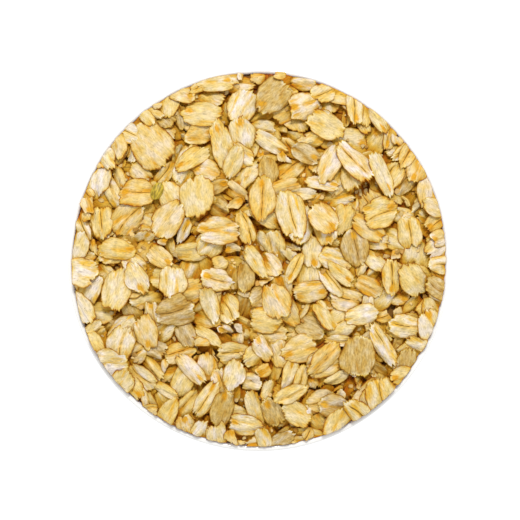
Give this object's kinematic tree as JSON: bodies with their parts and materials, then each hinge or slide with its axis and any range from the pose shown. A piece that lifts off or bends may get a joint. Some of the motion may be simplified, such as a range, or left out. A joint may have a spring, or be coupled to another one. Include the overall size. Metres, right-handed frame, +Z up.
{
  "type": "bowl of rolled oats",
  "caption": "Small round white porcelain bowl on a foot ring, filled to its rim and gently heaped with loose dry rolled oat flakes.",
  "frame": {"origin": "middle of the circle on which the foot ring stands, on the table", "axes": "+Z up along the bowl's axis; +Y is the top of the picture and +X its right"},
  "size_m": [0.1156, 0.1156, 0.0659],
  "materials": {
    "porcelain": "gloss",
    "oats": "matte"
  },
  "bodies": {
    "root": {"bowl": "porcelain", "oats": "oats"}
  },
  "joints": []
}
